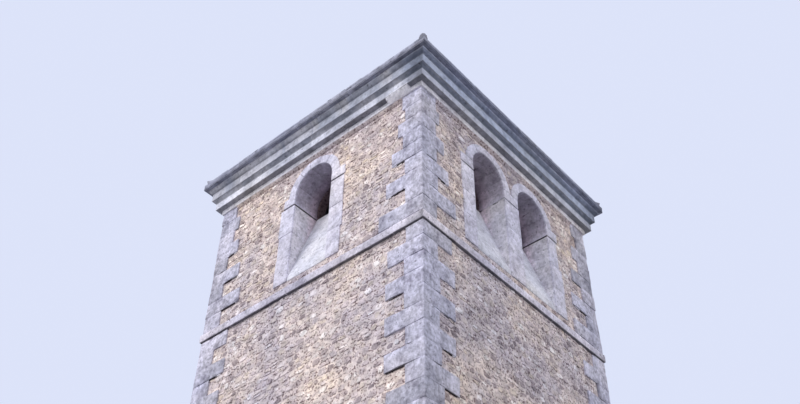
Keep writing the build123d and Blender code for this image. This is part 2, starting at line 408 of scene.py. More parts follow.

# Corner stones: large dressed blocks of pale limestone with a lavender cast, long and short arms
# by turns, finely jointed and a little proud of the rubble. The belfry's long arms get shorter
# upwards. Some joints gape, and so does the one under the string course; dark strips of painted
# shade fill the gaps.
fine_joint = 0.001
open_joint = (0.012, 0.026)
open_share = 0.42
open_start, open_end = (0.15, 0.6), (0.72, 0.98)
open_run = 0.25
gap_overlap = 0.003
quoin_wear, quoin_unevenness = 0.005, 0.010
quoin_proud = 0.014
quoin_face = half_side + 0.015
skin_pitch = 0.13


def new_stonework():
    """An empty mesh whose corners carry the tone of their stone."""
    bm = bmesh.new()
    bm.verts.layers.float.new("tone")
    return bm


def all_joined_to(vert):
    """All corners that edges join to one."""
    found, ends = {vert}, [vert]
    while ends:
        for edge in ends.pop().link_edges:
            for other in edge.verts:
                if other not in found:
                    found.add(other)
                    ends.append(other)
    return list(found)


def add_stone(bm, low, high, tone, pitch=skin_pitch):
    """A plain block, cut finely enough to wear unevenly, with its tone on its corners."""
    low, high = Vector(low), Vector(high)
    size = high - low
    stone = bmesh.ops.create_cube(bm, size=1.0)["verts"]
    layer = bm.verts.layers.float["tone"]
    for vert in stone:
        vert[layer] = tone
    for axis in range(3):
        cuts = min(9, round(size[axis] / pitch) - 1)
        if cuts > 0:
            along = [edge for edge in {edge for vert in stone for edge in vert.link_edges}
                     if abs(edge.verts[0].co[axis] - edge.verts[1].co[axis]) > 0.99]
            grown = bmesh.ops.subdivide_edges(bm, edges=along, cuts=cuts)["geom_split"]
            stone = all_joined_to(next(part for part in grown if isinstance(part, bmesh.types.BMVert)))
    bmesh.ops.scale(bm, vec=size, verts=stone)
    bmesh.ops.translate(bm, vec=(high + low) / 2, verts=stone)
    return stone


def wear(bm, edge_wear, unevenness, segments):
    """Rounds the sharp edges of all the stones and makes their faces uneven."""
    bmesh.ops.recalc_face_normals(bm, faces=bm.faces[:])
    sharp = [edge for edge in bm.edges if len(edge.link_faces) == 2
             and edge.calc_face_angle() > math.radians(35)]
    bmesh.ops.bevel(bm, geom=sharp, offset=edge_wear, offset_type="OFFSET", segments=segments,
                    profile=0.5, affect="EDGES", clamp_overlap=True, material=-1)
    layer = bm.verts.layers.float["tone"]
    for vert in bm.verts:
        own = Vector((vert[layer] * 40.0, 0, 0))
        wide = noise.noise_vector(vert.co * 2.6 + own)
        fine = noise.noise_vector(vert.co * 9.0 + own)
        vert.co += (wide + fine * 0.6) * unevenness


def add_shadow_strip(bm, low, high):
    """A dark strip of painted shade inside an open joint."""
    add_stone(bm, low, high, 0.5, 0.08)


def turn(bm, verts, angle, axis, move=(0, 0, 0)):
    """Turns corners round an axis through the origin, then moves them."""
    bmesh.ops.rotate(bm, verts=verts, cent=(0, 0, 0), matrix=Matrix.Rotation(angle, 3, axis))
    bmesh.ops.translate(bm, verts=verts, vec=move)


def stone_piece(bm, name, finish, edge_wear, unevenness, quarter=0, slot="dressed_stone", segments=2,
                replaced=()):
    """Wears the stones, turns them to their side and makes them a piece."""
    wear(bm, edge_wear, unevenness, segments)
    turn(bm, bm.verts[:], quarter * math.pi / 2, "Z")
    mesh = bpy.data.meshes.new(name)
    bm.to_mesh(mesh)
    bm.free()
    mesh.shade_smooth()
    finish_piece(mesh, name, finish, slot, *replaced)


def dressed_finish(name, pale, mid, stain, streak_depth, underside_shade=1.0, roughness=0.85, opening_shade=False,
                   contrast=1.0):
    """Weathered dressed stone with stains and rain streaks, painted shade in small pits, and painted shade on
    its undersides and inside the openings where asked.
    """
    finish, tree, surface, where = new_finish(name, roughness)
    between = tuple((one + other) / 2 for one, other in zip(pale, mid))
    colour = ramp(tree, attribute(tree, "tone"), (0.0, mid), (0.5, pale), (1.0, between))
    colour = tinted(tree, colour, cloud(tree, where, 4.5, 7.0, 0.68), (0.32, stain), (0.50, 1.0),
                    (0.70, 1.0 + 0.10 * contrast), amount=0.9)
    colour = tinted(tree, colour, cloud(tree, where, 16.0, 6.0, 0.7), (0.32, 1.0 - 0.28 * contrast),
                    (0.52, 1.0), (0.70, 1.0 + 0.18 * contrast), amount=0.9)
    # Painted shade in small pits.
    pit_shade = cloud(tree, where, 22.0, 2.0, 0.5, offset=(3, 1, 4))
    colour = tinted(tree, colour, pit_shade, (0.66, 1.0), (0.73, (0.20, 0.18, 0.20)))
    streaks = cloud(tree, where, 3.2, 5.0, 0.65, (1, 1, 0.16))
    colour = tinted(tree, colour, streaks, (0.40, 1.0 - streak_depth), (0.58, 1.0))
    # Painted shade on faces that look downwards, strongest on flat undersides.
    facing = spread(tree, axes(tree, where.node.outputs["Normal"])[2], -0.95, -0.15)
    colour = tinted(tree, colour, facing, (0.0, underside_shade), (1.0, 1.0))
    colour = warm_and_cool(tree, where, colour, 0.45)
    paint(surface, painted_opening_shade(tree, where, colour) if opening_shade else colour)
    relief(tree, surface, (cloud(tree, where, 12.0, 8.0, 0.65), 0.012, 0.6),
           (cloud(tree, where, 70.0, 4.0), 0.003, 0.5))
    return finish


dressed = dressed_finish(
    "dressed_limestone", (0.66, 0.64, 0.76), (0.48, 0.47, 0.56), (0.45, 0.43, 0.47), 0.20, contrast=1.9)
# The strips are painted shade: near-black, where the shadow inside the open joints falls.
shadow_strip_finish, tree, surface, where = new_finish("open_joint", 1.0, 0.0)
colour = ramp(tree, cloud(tree, where, 30.0), (0.35, (0.03, 0.025, 0.03)), (0.65, (0.10, 0.085, 0.095)))
paint(surface, colour)
for quarter, corner in enumerate(quoin_names):
    dice = random.Random(corner)
    bm, shadow_strips = new_stonework(), new_stonework()
    back, front = half_side - 0.02, quoin_face + 0.006
    for bottom, top, columns in quoin_storeys:
        height = (top - bottom) / len(columns[quarter])
        for course, (reach_x, reach_y) in enumerate(columns[quarter]):
            face = quoin_face + quoin_proud + dice.uniform(-0.004, 0.006)
            low, high = bottom + course * height, bottom + (course + 1) * height
            if course + 1 == len(columns[quarter]) and top == string_bottom:
                high -= open_joint[1]
                add_shadow_strip(shadow_strips, (half_side - reach_x + 0.01, -front, high - gap_overlap),
                        (front, reach_y - half_side - 0.01, top - 0.002))
            stone = add_stone(bm, (half_side - reach_x, -face, low + fine_joint),
                              (face, reach_y - half_side, high), dice.random())
            if course > 0 and dice.random() < open_share:
                gape = dice.uniform(*open_joint)
                near, far = dice.uniform(*open_start), dice.uniform(*open_end)
                for vert in stone:
                    along = max((half_side - vert.co.x) / reach_x, (vert.co.y + half_side) / reach_y)
                    if vert.co.z < low + fine_joint + 0.001:
                        vert.co.z += gape * min(1.0, max(0.0, (along - near) / open_run))
                add_shadow_strip(shadow_strips, (half_side - reach_x * far, -front, low - gap_overlap),
                        (half_side - reach_x * near, -back, low + gape))
                add_shadow_strip(shadow_strips, (back, reach_y * near - half_side, low - gap_overlap),
                        (front, reach_y * far - half_side, low + gape))
    stone_piece(bm, f"{corner}_corner_stones", dressed, quoin_wear, quoin_unevenness, quarter)
    stone_piece(shadow_strips, f"{corner}_open_joint_shadows", shadow_strip_finish, 0.003, 0.006, quarter, segments=1)

joints, tree, surface, where = new_finish("joint_mortar", 0.95)
colour = ramp(tree, cloud(tree, where, 9.0, 6.0), (0.30, (0.54, 0.51, 0.57)), (0.70, (0.74, 0.71, 0.78)))
# Painted shade: dark patches where the joints run deep, and shade inside the openings below.
colour = tinted(tree, colour, cloud(tree, where, 3.6, 3.0), (0.53, 1.0), (0.57, 0.25))
paint(surface, painted_opening_shade(tree, where, colour))
dress(joints, "quoins")

# Footing course: two rows of dressed blocks round the foot of the walls, the upper one with a
# chamfered top edge. The rows stop at the doorway.
facing_depth = 0.30
facing_proud = 0.007
facing_joint = 0.003
facing_wear = 0.006
facing_unevenness = 0.004
plinth_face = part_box("plinth")[1][0]
plinth_chamfer = 0.06
footing_joint = 0.32


def carry(bm, face, place):
    """Extrudes the end face of a stone and moves each new corner to its place."""
    grown = bmesh.ops.extrude_face_region(bm, geom=[face])["geom"]
    for part in grown:
        if isinstance(part, bmesh.types.BMVert):
            part.co = place(part.co)
    return next(part for part in grown if isinstance(part, bmesh.types.BMFace))


def steps(start, stop, pitch=0.22):
    """Places from start to stop, the start left out."""
    count = max(1, round(abs(stop - start) / pitch))
    return [start + (stop - start) * step / count for step in range(1, count + 1)]


def section(inner, *edge):
    """The outline of a course with this outer edge, from its foot up, level at its foot and top."""
    return [(inner, edge[0][1]), *edge, (inner, edge[-1][1])]


def end_face(bm, corners, tone):
    """The first end of a stone, with its tone on its corners."""
    layer = bm.verts.layers.float["tone"]
    verts = [bm.verts.new(corner) for corner in corners]
    for vert in verts:
        vert[layer] = tone
    return bm.faces.new(verts)


def moulded_stone(bm, outline, start, stop, tone, round_corner=False):
    """A length of moulding on the front, or one that turns the right-hand corner to y = stop."""
    face = end_face(bm, [(start, -out, height) for out, height in outline], tone)
    inner = min(out for out, _ in outline)
    for x in steps(start, inner - 0.05 if round_corner else stop):
        face = carry(bm, face, lambda co: Vector((x, co.y, co.z)))
    if round_corner:
        face = carry(bm, face, lambda co: Vector((-co.y, co.y, co.z)))
        first = 0.05 - inner
        for y in [first] + steps(first, stop):
            face = carry(bm, face, lambda co: Vector((co.x, y, co.z)))


def moulded_course(name, outline, lengths, arms, finish, slot="dressed_stone", edge_wear=facing_wear,
                   unevenness=facing_unevenness, gap=None):
    """A whole course of moulded lengths round the tower, with a stone at each corner."""
    dice = random.Random(name)
    corner_arms = [(dice.uniform(*arms), dice.uniform(*arms)) for _ in side_names]
    for quarter, side in enumerate(side_names):
        bm = new_stonework()
        high_arm, turned_arm = corner_arms[quarter]
        low_arm = corner_arms[quarter - 1][1]
        moulded_stone(bm, outline, half_side - high_arm, turned_arm - half_side, dice.random(), True)
        x, end = low_arm - half_side, half_side - high_arm
        stretches = [(x, end)] if gap is None or side != "front" else [(x, -gap), (gap, end)]
        for start, stop in stretches:
            count = max(1, round((stop - start) / dice.uniform(*lengths)))
            breaks = [start + (stop - start) * (number + dice.uniform(-0.16, 0.16)) / count
                      for number in range(1, count)]
            for one, other in zip([start] + breaks, breaks + [stop]):
                moulded_stone(bm, outline, one + facing_joint, other, dice.random())
        stone_piece(bm, f"{name}_{side}", finish, edge_wear, unevenness, quarter, slot)


plinth_inner = plinth_face - facing_depth
plinth_outer = plinth_face + facing_proud
for row, edge in (("lower", [(plinth_outer, 0.004), (plinth_outer, footing_joint - 0.008)]),
                  ("upper", [(plinth_outer, footing_joint), (plinth_outer, plinth_top - plinth_chamfer),
                             (plinth_outer - plinth_chamfer, plinth_top + 0.004)])):
    moulded_course(f"{row}_footing_stones", section(plinth_inner, *edge), (0.55, 1.0), (0.45, 0.75), dressed,
                   gap=door_half + door_jamb)
dress(joints, "plinth")

# String course: one row of long dressed stones between the storeys, weathered along its top edge
# so that rain runs off it.
string_face = -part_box("string_course_front")[0][1]
string_weathering = 0.045
string_outer = string_face + facing_proud
# Its undersides take deep painted shade.
string_stone = dressed_finish(
    "string_limestone", (0.80, 0.76, 0.87), (0.66, 0.62, 0.71), (0.62, 0.60, 0.64), 0.14, 0.25, contrast=1.5)
moulded_course(
    "string_course_stones",
    section(string_face - facing_depth, (string_outer, string_bottom - 0.006),
            (string_outer, belfry_bottom - string_weathering),
            (string_outer - string_weathering, belfry_bottom + 0.006)),
    (0.7, 1.15), (0.55, 0.85), string_stone, edge_wear=0.012)
dress(joints, "string_course")

# Frames of the belfry openings: dressed jamb blocks and a round arch of wedge-shaped stones, cut
# through to the splay behind them. A pair of openings shares a pier of single blocks.
frame_proud = 0.022
frame_lap = 0.008
frame_depth = 0.594
frame_wear, frame_unevenness = 0.006, 0.005
frame_joint = 0.001
frame_spare, ring_spare = (0.0, 0.006), (0.0, 0.03)
gaping_joint = belfry_bottom + 2.047
gaping_half = 0.018
jamb_joints = (opening_foot, opening_foot + 0.62, opening_foot + 1.20, gaping_joint, opening_spring)
arch_stones = 7
# Frame stones take painted shade inside the openings and a little on their undersides.
pale_dressed = dressed_finish(
    "pale_limestone", (0.79, 0.76, 0.87), (0.67, 0.64, 0.74), (0.66, 0.64, 0.67), 0.14, 0.9,
    opening_shade=True, contrast=1.4)


def portion(start, stop, number, count):
    """The two ends of one of the equal parts of a stretch."""
    return [start + (stop - start) * place / count for place in (number, number + 1)]


def add_arch(bm, centre, spring, inner, ring, count, depth, dice):
    """A ring of wedges bent from straight blocks, which stay on their side of a shared pier."""
    for number in range(count):
        start, stop = (math.pi * (place - 0.5) for place in portion(0, 1, number, count))
        joint = frame_joint / inner
        outer = inner + ring + dice.uniform(*ring_spare)
        face = depth[0] - dice.uniform(*frame_spare)
        middle = (inner - frame_lap + outer) / 2
        stone = add_stone(bm, ((start + joint) * middle, face, inner - frame_lap),
                          ((stop - joint) * middle, depth[1], outer), dice.random(), 0.09)
        for vert in stone:
            angle, radius = vert.co.x / middle, vert.co.z
            vert.co.x = centre + radius * math.sin(angle)
            vert.co.z = spring + radius * math.cos(angle)
            if centre != 0:
                vert.co.x = math.copysign(max(vert.co.x / centre * abs(centre), 0.006), centre)


for quarter, side in enumerate(side_names):
    dice = random.Random(f"{side} frame")
    bm, shadow_strips = new_stonework(), new_stonework()
    depth = (-half_side - frame_proud, frame_depth - half_side)
    centres = opening_centres[quarter % 2]
    ends = ((centres[0], -1), (centres[-1], 1))
    for end, sign in ends:
        across = sorted(end + sign * (opening_half + reach) for reach in (-gap_overlap, opening_jamb))
        # Dark strips of painted shade in the gaping joint of each jamb.
        add_shadow_strip(shadow_strips, (across[0], -half_side - 0.014, gaping_joint - gaping_half - 0.004),
                (across[1], depth[1], gaping_joint + gaping_half + 0.004))
    for bottom, top in zip(jamb_joints, jamb_joints[1:]):
        low = bottom + (gaping_half if bottom == gaping_joint else frame_joint)
        high = top - (gaping_half if top == gaping_joint else frame_joint)
        for end, sign in ends:
            jamb = sorted(end + sign * (opening_half + reach)
                          for reach in (-frame_lap, opening_jamb + dice.uniform(-0.02, 0.07)))
            face = depth[0] - dice.uniform(*frame_spare)
            add_stone(bm, (jamb[0], face, low), (jamb[1], depth[1], high), dice.random())
        if len(centres) > 1:
            pier = twin_offset - opening_half + frame_lap
            add_stone(bm, (-pier, depth[0], low), (pier, depth[1], high), dice.random())
    for centre in centres:
        add_arch(bm, centre, opening_spring, opening_half, opening_ring, arch_stones, depth, dice)
    stone_piece(bm, f"opening_frame_stones_{side}", pale_dressed, frame_wear, frame_unevenness, quarter)
    stone_piece(shadow_strips, f"gaping_joint_shadows_{side}", shadow_strip_finish, 0.003, 0.003, quarter, segments=1)
dress(joints, "opening_surround")

# Sloping sills: whitish slabs laid up the steep slope that fills the foot of each belfry opening,
# with fine joints, over a low upright nose.
sill_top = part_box("opening_sill_front")[1][2]
sill_nose = opening_foot + 0.09
sill_slabs = 4
sill_joint = 0.002
sill_proud, sill_sunk = 0.008, 0.05
sill_run = 0.60
sill_slope = math.atan2(sill_top - sill_nose, sill_run)
sill_length = math.hypot(sill_top - sill_nose, sill_run)
sill_margin = 0.012
sill_stone = dressed_finish(
    "sill_limestone", (0.76, 0.75, 0.81), (0.68, 0.67, 0.73), (0.72, 0.71, 0.74), 0.12)
for quarter, side in enumerate(side_names):
    dice = random.Random(f"{side} sill")
    bm = new_stonework()
    reach = opening_half - sill_margin
    for centre in opening_centres[quarter % 2]:
        add_stone(bm, (centre - reach, -half_side - sill_proud, opening_foot + 0.003),
                  (centre + reach, sill_sunk - half_side, sill_nose), dice.random())
        for number in range(sill_slabs):
            start, stop = portion(0, sill_length, number, sill_slabs)
            slab = add_stone(bm, (centre - reach, start + sill_joint, -sill_sunk),
                             (centre + reach, stop - sill_joint, sill_proud), dice.random())
            turn(bm, slab, sill_slope, "X", (0, -half_side, sill_nose))
    stone_piece(bm, f"sill_slabs_{side}", sill_stone, 0.005, 0.003, quarter)
dress(sill_stone, "opening_sill")

# Doorway: dressed jamb blocks and an arch through the whole wall, round an open way in with a
# worn stone threshold.
door_courses = 5
door_depth = 1.0
door_arch_stones = 11
long_jamb = 0.12
threshold_dip = 0.02

dice = random.Random("doorway")
bm = new_stonework()
depth = (-half_side - frame_proud, door_depth - half_side - 0.004)
for course in range(door_courses):
    low, high = portion(0, door_spring, course, door_courses)
    for sign in (-1, 1):
        jamb = sorted(sign * (door_half + reach)
                      for reach in (-frame_lap, door_jamb + dice.choice((0.0, long_jamb)) * (course % 2)))
        add_stone(bm, (jamb[0], depth[0], low + 0.004), (jamb[1], depth[1], high), dice.random())
add_arch(bm, 0.0, door_spring, door_half, door_ring, door_arch_stones, depth, dice)
stone_piece(bm, "doorway_stones", pale_dressed, frame_wear, frame_unevenness)
dress(mortar, "doorway_surround")

floor_stone = dressed_finish(
    "floor_limestone", (0.47, 0.45, 0.43), (0.36, 0.34, 0.32), (0.60, 0.57, 0.52), 0.0, roughness=0.7)
low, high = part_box("doorway_threshold")
bm = new_stonework()
tread = add_stone(bm, (low[0], low[1], low[2] + 0.002), high, 0.4)
for vert in tread:
    dip = threshold_dip * max(0.0, 1.0 - (vert.co.x / door_half) ** 2)
    vert.co.z -= dip if vert.co.z > high[2] - 0.01 else 0.0
stone_piece(bm, "worn_threshold", floor_stone, 0.014, 0.002, slot="floor_stone",
            replaced=["doorway_threshold"])

# Floors: limestone flags on the ground and sawn oak boards over oak beams below the belfry.
flag_rows = 6
flag_height = 0.05
flag_widths = (0.45, 0.8)
flag_joint = 0.004
board_width = 0.19
board_gap = 0.004

low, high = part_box("ground_floor")
dice = random.Random("flags")
bm = new_stonework()
for row in range(flag_rows):
    near, far = portion(low[1], high[1], row, flag_rows)
    x = low[0]
    while x < high[0] - 0.01:
        width = dice.uniform(*flag_widths)
        if high[0] - x - width < 0.35:
            width = high[0] - x
        add_stone(bm, (x + flag_joint, near + flag_joint, high[2] - flag_height),
                  (x + width - flag_joint, far - flag_joint, high[2] + 0.005), dice.random())
        x += width
stone_piece(bm, "floor_flags", floor_stone, 0.006, 0.002, slot="floor_stone")
dress(mortar, "ground_floor")

oak, tree, surface, where = new_finish("old_oak", 0.75)
colour = ramp(tree, cloud(tree, where, 22.0, 6.0, 0.65, (1, 0.06, 1)), (0.30, (0.10, 0.075, 0.055)),
              (0.50, (0.20, 0.155, 0.12)), (0.72, (0.31, 0.26, 0.21)))
colour = tinted(tree, colour, attribute(tree, "tone"), (0.0, 0.75), (1.0, 1.2))
paint(surface, colour)
relief(tree, surface, (cloud(tree, where, 40.0, 5.0, 0.6, (1, 0.05, 1)), 0.003, 0.6))
low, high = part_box("belfry_floor_boards")
boards = round((high[0] - low[0]) / board_width)
dice = random.Random("boards")
bm = new_stonework()
for board in range(boards):
    left, right = portion(low[0], high[0], board, boards)
    add_stone(bm, (left + board_gap / 2, low[1] + 0.002, low[2] + 0.001),
              (right - board_gap / 2, high[1] - 0.002, high[2] - dice.uniform(0, 0.003)),
              dice.random(), 0.5)
stone_piece(bm, "oak_floor_boards", oak, 0.003, 0.001, slot="floor_timber", segments=1,
            replaced=["belfry_floor_boards"])
dress(oak, "belfry_floor_beams")

# Cornice: three stone courses that step outwards, a plain bed, a fillet and hollow, and a corona
# with a swelling edge, in long lengths with painted light and shade in level bands, darker and
# bluer on the right and back, and painted shade on undersides. A fillet of mortar closes the bed
# to the wall, and a patch of mortar fills the step over it near the corner.
bed_outer, corona_outer, cyma_outer = (
    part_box(f"cornice_{course}_course")[1][0] + facing_proud for course in ("bed", "cavetto", "corona"))
fillet_bottom, corona_bottom = (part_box(f"cornice_{course}_course")[1][2] for course in ("bed", "cavetto"))
eave_bottom, eave_top = (corner[2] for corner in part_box("eave_slabs"))
fillet_outer = half_side + 0.170 + facing_proud
hollow_foot = fillet_bottom + 0.173
swelling_foot = corona_bottom + 0.190
course_drop = 0.004
bed_low, hollow_low, crown_low, eave_low = (
    level - course_drop for level in (cornice_bottom, fillet_bottom, corona_bottom, eave_bottom))
cornice_inner = half_side - 0.25
arc_steps = 6
mortar_inner = half_side - 0.03
mortar_foot = (half_side + 0.014, cornice_bottom - 0.06)
mortar_head = (bed_outer - 0.004, cornice_bottom - 0.008)
patch_ends = (1.96, 2.52)
patch_foot = fillet_bottom - 0.115
patch_bend = 0.11
patch_ragged, patch_rough = 0.10, 0.006


def arc(start, stop, hollow):
    """Points on a quarter-like arc between two (out, height) points, hollow or swelling."""
    points = []
    for step in range(arc_steps + 1):
        share = step / arc_steps
        sweep = share * math.pi / 2
        out, up = (1 - math.cos(sweep), math.sin(sweep)) if hollow else (math.sin(sweep), 1 - math.cos(sweep))
        points.append((start[0] + (stop[0] - start[0]) * (0.35 * share + 0.65 * out),
                       start[1] + (stop[1] - start[1]) * (0.35 * share + 0.65 * up)))
    return points


def painted_bands(finish, front_setting, side_shade_bands):
    """Paints light and shade into a finish in level bands of (height, shade), other bands of painted shade on
    the right and back.
    """
    tree = finish.node_tree
    colour = tree.nodes["Principled BSDF"].inputs["Base Color"]
    where = tree.nodes["Texture Coordinate"].outputs
    drift = spread(tree, cloud(tree, where["Object"], 9.0), 0.3, 0.7, -0.008, 0.008)
    level = spread(tree, sums(tree, "ADD", axes(tree, where["Object"])[2], drift), cornice_bottom, eave_top)
    shades = [ramp(tree, level, *(((height - cornice_bottom) / (eave_top - cornice_bottom), shade)
                                  for height, shade in bands)) for bands in (front_setting, side_shade_bands)]
    x, y, _ = axes(tree, where["Normal"])
    side = mixed(tree, *shades)
    tree.links.new(spread(tree, sums(tree, "MAXIMUM", x, y), 0.2, 0.6), side.inputs["Factor"])
    tree.links.new(multiplied(tree, 1.0, colour.links[0].from_socket, side.outputs[2]), colour)
    return finish


bed_stone = dressed_finish("bed_limestone", (0.99, 0.96, 1.00), (0.86, 0.82, 0.86), (0.76, 0.74, 0.76), 0.08)
# Painted light and shade: lighter bands on the fillet, the top of the hollow and the swelling edge, darker
# ones at the foot of the hollow and the top of the crown.
cornice_stone = painted_bands(
    dressed_finish("cornice_limestone", (0.76, 0.76, 0.84), (0.64, 0.64, 0.71), (0.66, 0.66, 0.68),
                   0.14, 0.5),
    [(fillet_bottom, 1.15), (fillet_bottom + 0.02, 1.25), (hollow_foot - 0.008, 1.25), (hollow_foot, 0.65),
     (hollow_foot + 0.04, 0.95), (corona_bottom - 0.02, 1.30), (corona_bottom + 0.01, 0.95),
     (swelling_foot, 0.95), (swelling_foot + 0.02, 1.15), (eave_bottom - 0.03, 1.0), (eave_bottom, 0.65)],
    [(fillet_bottom, 0.55), (fillet_bottom + 0.02, (0.95, 0.97, 1.00)),
     (hollow_foot - 0.008, (0.95, 0.97, 1.00)), (hollow_foot, (0.30, 0.33, 0.37)),
     (hollow_foot + 0.04, (0.42, 0.46, 0.52)), (corona_bottom - 0.02, (0.60, 0.66, 0.74)),
     (corona_bottom + 0.01, (0.78, 0.85, 0.94)), (swelling_foot, (0.78, 0.85, 0.94)),
     (swelling_foot + 0.01, (0.50, 0.56, 0.68)), (eave_bottom - 0.04, (0.50, 0.56, 0.68)),
     (eave_bottom - 0.03, (0.80, 0.86, 0.96))])
moulded_course(
    "cornice_bed_stones", section(cornice_inner, (bed_outer, bed_low), (bed_outer, hollow_low - fine_joint)),
    (0.6, 1.0), (0.45, 0.7), bed_stone, "cornice_stone")
for name, foot, curve in (
        ("hollow", (fillet_outer, hollow_low),
         arc((fillet_outer, hollow_foot), (corona_outer, crown_low - fine_joint), True)),
        ("crown", (corona_outer, crown_low),
         arc((corona_outer, swelling_foot), (cyma_outer, eave_low - fine_joint), False))):
    moulded_course(f"cornice_{name}_stones", section(cornice_inner, foot, *curve), (0.7, 1.1), (0.5, 0.8),
                   cornice_stone, "cornice_stone")
dress(cornice_stone, "cornice")
for quarter, side in enumerate(side_names):
    bm = new_stonework()
    for low, high in free_spans(quarter, cornice_bottom - 0.05, True):
        moulded_stone(bm, section(mortar_inner, mortar_foot, mortar_head), low, high, 0.5)
    stone_piece(bm, f"mortar_fillet_{side}", mortar, 0.010, 0.010, quarter, "cornice_stone")
bm = new_stonework()
for vert in add_stone(bm, (patch_ends[0], -fillet_outer - 0.004, patch_foot),
                      (patch_ends[1], -half_side, fillet_bottom + 0.02), 0.5, 0.04):
    share = min(1.0, (vert.co.z - patch_foot) / patch_bend)
    face = -bed_outer - 0.006 - (fillet_outer - bed_outer) * share
    vert.co.y = max(vert.co.y, face + patch_rough * noise.noise(vert.co * 9.0))
    vert.co.x += patch_ragged * noise.noise(vert.co * 5.0)
stone_piece(bm, "mortar_patch", bed_stone, 0.008, 0.004, slot="cornice_stone")

# Eaves: a ring of thick rough slabs that oversail the cornice, with the lowest row of roof slabs
# bedded on them.
eave_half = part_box("eave_slabs")[1][0]
eave_inner = half_side - 0.1
eave_layer = eave_bottom + 0.095
# Roof stone takes painted shade on its undersides.
roof_stone = dressed_finish(
    "roof_limestone", (0.42, 0.43, 0.52), (0.25, 0.25, 0.31), (0.45, 0.43, 0.42), 0.10, 0.6, 0.9)
# Painted shade: a dark band low on the face of the eave slabs, and darker, bluer slabs on the right and back.
eave_stone = painted_bands(
    dressed_finish("eave_limestone", (0.46, 0.48, 0.60), (0.32, 0.33, 0.42), (0.50, 0.48, 0.48),
                   0.10, 1.0, 0.9),
    [(eave_bottom + 0.006, 1.0), (eave_bottom + 0.014, 0.50), (eave_bottom + 0.035, 0.50),
     (eave_bottom + 0.05, 1.0)],
    [(eave_bottom + 0.006, (0.56, 0.60, 0.66)), (eave_bottom + 0.014, (0.34, 0.36, 0.40)),
     (eave_bottom + 0.05, (0.34, 0.36, 0.40)), (eave_bottom + 0.08, 0.95)])
moulded_course(
    "eave_bed_slabs",
    section(eave_inner, (eave_half - 0.012, eave_low), (eave_half - 0.002, eave_layer - 0.006)),
    (0.65, 1.0), (0.5, 0.9), eave_stone, "roof_stone", 0.016, 0.010)
moulded_course(
    "eave_top_slabs",
    [(eave_inner, eave_layer), (eave_half + 0.004, eave_layer), (eave_half + 0.004, eave_top + 0.002),
     (eave_inner, eave_top + 0.01)],
    (0.4, 0.8), (0.45, 0.8), eave_stone, "roof_stone", 0.010, 0.008)
dress(eave_stone, "eave_slabs")
dress(roof_stone, "roof_slope")

# Roof: rows of rough stone slabs up each slope, every row lapping the one below it, cut to the
# line of the hips.
apex_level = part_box("roof_slope_front")[1][2]
roof_rise = apex_level - eave_top
roof_pitch = math.atan2(roof_rise, eave_half)
slope_length = math.hypot(roof_rise, eave_half)
roof_rows = 10
row_lap = 0.09
first_tail = 0.11
tail_spare = 0.012
slab_thickness = 0.032
slab_joint = 0.003
tail_lift = 0.036
slab_widths = (0.30, 0.62)
hip_margin = 0.02

for quarter, side in enumerate(side_names):
    dice = random.Random(f"{side} roof")
    bm = new_stonework()
    for row in range(roof_rows):
        low, high = portion(0, slope_length, row, roof_rows)
        low += first_tail if row == 0 else dice.uniform(-tail_spare, tail_spare)
        high = min(high + row_lap, slope_length - 0.02)
        widest = eave_half * (1 - low / slope_length) - hip_margin
        x = -widest - dice.uniform(0, 0.3)
        while x < widest:
            width = dice.uniform(*slab_widths)
            if x + width > -widest + 0.05 and x < widest - 0.05:
                tail = low + dice.uniform(-tail_spare, tail_spare) * (row > 0)
                thickness = slab_thickness * dice.uniform(0.8, 1.3)
                slab = add_stone(bm, (x + slab_joint, tail, 0.0), (x + width - slab_joint, high, thickness),
                                 dice.random(), 0.16)
                for vert in slab:
                    vert.co.z += 0.002 + tail_lift * (high - vert.co.y) / (high - tail)
                    limit = eave_half * (1 - vert.co.y / slope_length) - hip_margin
                    vert.co.x = max(-limit, min(limit, vert.co.x))
            x += width
    turn(bm, bm.verts[:], roof_pitch, "X", (0, -eave_half, eave_top))
    stone_piece(bm, f"roof_slabs_{side}", roof_stone, 0.008, 0.006, quarter, "roof_stone")

# Hip caps: lapping arched cap stones bedded in mortar along the four hips. The lowest of each hip
# ends in a narrow upright nose at the corner of the eaves.
hip_reach = eave_half * math.sqrt(2)
hip_pitch = math.atan2(roof_rise, hip_reach)
hip_length = math.hypot(roof_rise, hip_reach)
cap_length = 0.46
cap_lap = 0.06
cap_inset = 0.07
cap_taper = 0.22
cap_outline = [(-0.1325, -0.075), (-0.1378, -0.01), (-0.106, 0.0495), (-0.0477, 0.0858),
               (0.0477, 0.0858), (0.106, 0.0495), (0.1378, -0.01), (0.1325, -0.075)]
nose_length, nose_width, nose_height = 0.30, 0.60, 1.25
apex_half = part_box("apex_cap_stone")[1][0]

dice = random.Random("hips")
bm = new_stonework()
cap_count = round((hip_length - apex_half) / cap_length)
for quarter in range(4):
    caps = []
    for number in range(cap_count):
        start, stop = portion(0, hip_length - apex_half, number, cap_count)
        start += cap_inset if number == 0 else 0.0
        stop += cap_lap
        face = end_face(bm, [(across, start, up) for across, up in cap_outline], dice.random())
        for along in [start] + steps(start, stop, 0.12):
            if along > start:
                face = carry(bm, face, lambda co: Vector((co.x, along, co.z)))
            ring = sorted(face.verts, key=lambda vert: vert.co.x)
            shrink = 1.0 - cap_taper * (along - start) / (stop - start)
            nose = max(0.0, 1.0 - (along - start) / nose_length) if number == 0 else 0.0
            for vert, (across, up) in zip(ring, sorted(cap_outline)):
                vert.co.x = across * shrink * (1.0 + (nose_width - 1.0) * nose)
                vert.co.z = up * shrink * (1.0 + (nose_height - 1.0) * nose) if up > 0 else up
            caps += ring
    turn(bm, caps, hip_pitch, "X", (0, -hip_reach, eave_top))
    turn(bm, caps, math.pi / 4 + quarter * math.pi / 2, "Z")
